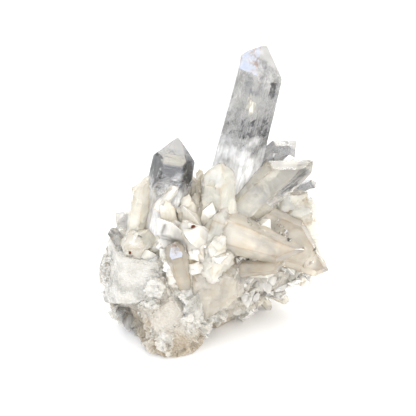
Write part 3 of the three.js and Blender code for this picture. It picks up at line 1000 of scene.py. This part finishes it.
faceted(
    "left_mass",
    MASSED,
    "milky_quartz",
    [
        ((-20, -7, 43.5), (-0.2, -0.35, 0.92)),
        ((-20, -12.5, 37), (-0.2, -0.85, 0.49)),
        ((-20, -13.5, 33), (-0.1, -0.9, -0.42)),
        ((-27, -8, 36), (-0.9, -0.2, 0.39)),
        ((-28.5, -8, 31), (-0.9, -0.2, -0.4)),
        ((-12, -8, 36), (1, 0, 0)),
        ((-20, 2, 36), (0, 1, 0)),
        ((-20, -8, 24), (0, 0, -1)),
    ],
    ribs=1.0,
)
rust_grains()
small_crystals(
    "white_crust", VEIN, "vein_quartz", box=((-40, -30, 8), (-16, 0, 40)),
    count=50, long=(0.3, 0.9), wide=(1.0, 2.4), seed=11, outwards=0.2,
)
small_crystals(
    "grey_druse", SHEAF, "clear_quartz", box=((12, -16, 0), (42, 12, 26)),
    count=80, long=(1.6, 3.4), wide=(4.0, 7.5), seed=12, outwards=0.3,
)
small_crystals(
    "back_crust", CREAM, "milky_quartz", box=((-30, 6, 8), (27, 34, 40)),
    count=170, long=(1.4, 4.0), wide=(1.6, 3.6), seed=13,
)
fanned_blades(
    "sheaf_blades", SHEAF, "milky_quartz", centre=(-4, -9, 38), spread=(9, 5, 5),
    count=16, long=(8, 13), wide=(5.0, 8.5), seed=21,
)
fanned_blades(
    "side_blades", SHEAF, "milky_quartz", centre=(10, -6, 32), spread=(6, 5, 6),
    count=10, long=(8, 12), wide=(5.0, 8.5), seed=22,
)
fanned_blades(
    "left_blades", SHEAF, "milky_quartz", centre=(-15, -9, 31), spread=(3, 4, 4),
    count=8, long=(7, 11), wide=(4.5, 7.5), seed=23,
)
fanned_blades(
    "rear_blades", MASSED, "milky_quartz", centre=(4, 6, 33), spread=(18, 6, 6),
    count=40, long=(7, 12), wide=(3.0, 6.0), seed=24,
)


# ---- The studio ----


def soft_light(name, at, size, power, tint, aim=(0, 0, 0.04)):
    light = bpy.data.lights.new(name, "AREA")
    light.shape = "SQUARE"
    light.size = size
    light.energy = power
    light.color = colour(tint)[:3]
    lamp = bpy.data.objects.new(name, light)
    lamp.location = at
    lamp.rotation_euler = (Vector(aim) - Vector(at)).to_track_quat("-Z", "Y").to_euler()
    bpy.context.scene.collection.objects.link(lamp)


def pale_floor():
    """A white card. Rays bent through the crystals see it dark grey instead, which paints darker refractions into
    them.
    """
    mesh = bpy.data.meshes.new("floor")
    mesh.from_pydata([(-4, -4, 0), (4, -4, 0), (4, 4, 0), (-4, 4, 0)], [], [(0, 1, 2, 3)])
    material, tree = new_material("white_card")
    bent = add(tree, "ShaderNodeLightPath").outputs["Is Transmission Ray"]
    # dark grey only for rays bent through the crystals: a painted dark refraction
    tone = {0: bent, 6: colour("f0f0f0"), 7: colour("46484c")}
    tone = add(tree, "ShaderNodeMix", tone, data_type="RGBA").outputs[2]
    card = {"Base Color": tone, "Roughness": 0.9}
    card = add(tree, "ShaderNodeBsdfPrincipled", card).outputs["BSDF"]
    add(tree, "ShaderNodeOutputMaterial", {"Surface": card})
    mesh.materials.append(material)
    floor = bpy.data.objects.new("floor", mesh)
    floor.location.z = -0.0002
    bpy.context.scene.collection.objects.link(floor)


def surroundings():
    """A broad white ceiling over a dark room, with pale walls for the eye."""
    world = bpy.data.worlds.new("studio")
    bpy.context.scene.world = world
    world.use_nodes = True
    tree = world.node_tree
    tree.nodes.clear()
    place = add(tree, "ShaderNodeTexCoord").outputs["Generated"]
    height = add(tree, "ShaderNodeSeparateXYZ", {"Vector": place}).outputs["Z"]
    room = [(0.0, 0.9), (0.1, 0.9), (0.17, 0.5), (0.31, 0.5), (0.4, 0.8), (0.7, 0.8), (1.0, 0.75)]
    room = add(tree, "ShaderNodeValToRGB", {"Fac": height}, stops=room).outputs["Color"]
    room = add(tree, "ShaderNodeBackground", {"Color": room, "Strength": 2.05}).outputs["Background"]
    pale = add(tree, "ShaderNodeBackground", {"Color": colour("f4f4f4"), "Strength": 1.0}).outputs["Background"]
    seen = add(tree, "ShaderNodeLightPath").outputs["Is Camera Ray"]
    both = add(tree, "ShaderNodeMixShader", {0: seen, 1: room, 2: pale}).outputs["Shader"]
    add(tree, "ShaderNodeOutputWorld", {"Surface": both})


def camera():
    """Looks along +Y from 30 degrees above, with a 100 mm lens."""
    elevation = math.radians(30)
    aim = Vector((0, 0, 46)) * MM
    back = Vector((0, -math.cos(elevation), math.sin(elevation)))
    data = bpy.data.cameras.new("camera")
    data.lens = 100
    data.sensor_width = 36
    data.clip_start = 0.01
    view = bpy.data.objects.new("camera", data)
    view.location = aim + back * 0.404
    view.rotation_euler = (-back).to_track_quat("-Z", "Y").to_euler()
    bpy.context.scene.collection.objects.link(view)
    bpy.context.scene.camera = view


surroundings()
pale_floor()
soft_light("key_light", (-0.42, -0.22, 0.42), 0.3, 0.6, "e6eeff")
soft_light("top_light", (0.06, -0.05, 0.66), 0.34, 0.5, "ffffff")
soft_light("front_light", (0.06, -0.62, 0.14), 0.4, 1.0, "ffffff")
soft_light("right_light", (0.48, -0.26, 0.3), 0.25, 0.7, "fff6ec")
soft_light("back_light", (-0.1, 0.55, 0.35), 0.3, 0.6, "ffffff")
camera()

scene = bpy.context.scene
scene.view_settings.view_transform = "Standard"
scene.cycles.max_bounces = 32
scene.cycles.diffuse_bounces = 16
scene.cycles.glossy_bounces = 16
scene.cycles.transmission_bounces = 32
scene.cycles.transparent_max_bounces = 24
scene.cycles.blur_glossy = 0.5
